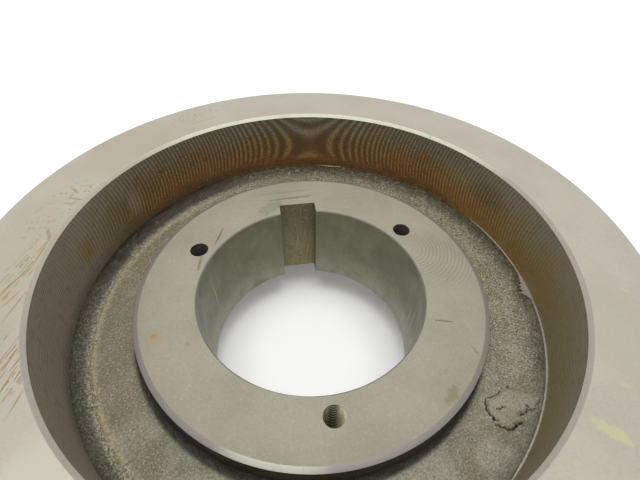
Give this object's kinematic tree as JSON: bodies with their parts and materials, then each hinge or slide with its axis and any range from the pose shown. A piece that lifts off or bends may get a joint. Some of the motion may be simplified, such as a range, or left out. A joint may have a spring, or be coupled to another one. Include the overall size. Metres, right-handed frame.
{
  "type": "v belt pulley",
  "caption": "V-belt pulley of grey cast iron: a rim with belt grooves, a solid web, and a hub with a tapered bore, a keyway and tapped holes for a split bushing.",
  "frame": {"origin": "centre of the lower rim face, in the plane that the pulley stands on", "axes": "+Z along the axis, out of the large end of the bore; +Y through the middle of the keyway"},
  "size_m": [0.2616, 0.2616, 0.0953],
  "materials": {
    "turned_hub": "face-turned grey iron",
    "rough_casting": "sand-cast skin, oxidised",
    "turned_rim": "turned grey iron with light rust"
  },
  "bodies": {
    "root": {"hub": "turned_hub", "web": "rough_casting", "rim_band": "turned_rim", "groove_land_1": "turned_rim", "groove_land_2": "turned_rim", "groove_land_3": "turned_rim", "groove_land_4": "turned_rim", "groove_land_5": "turned_rim", "groove_land_6": "turned_rim"}
  },
  "joints": []
}
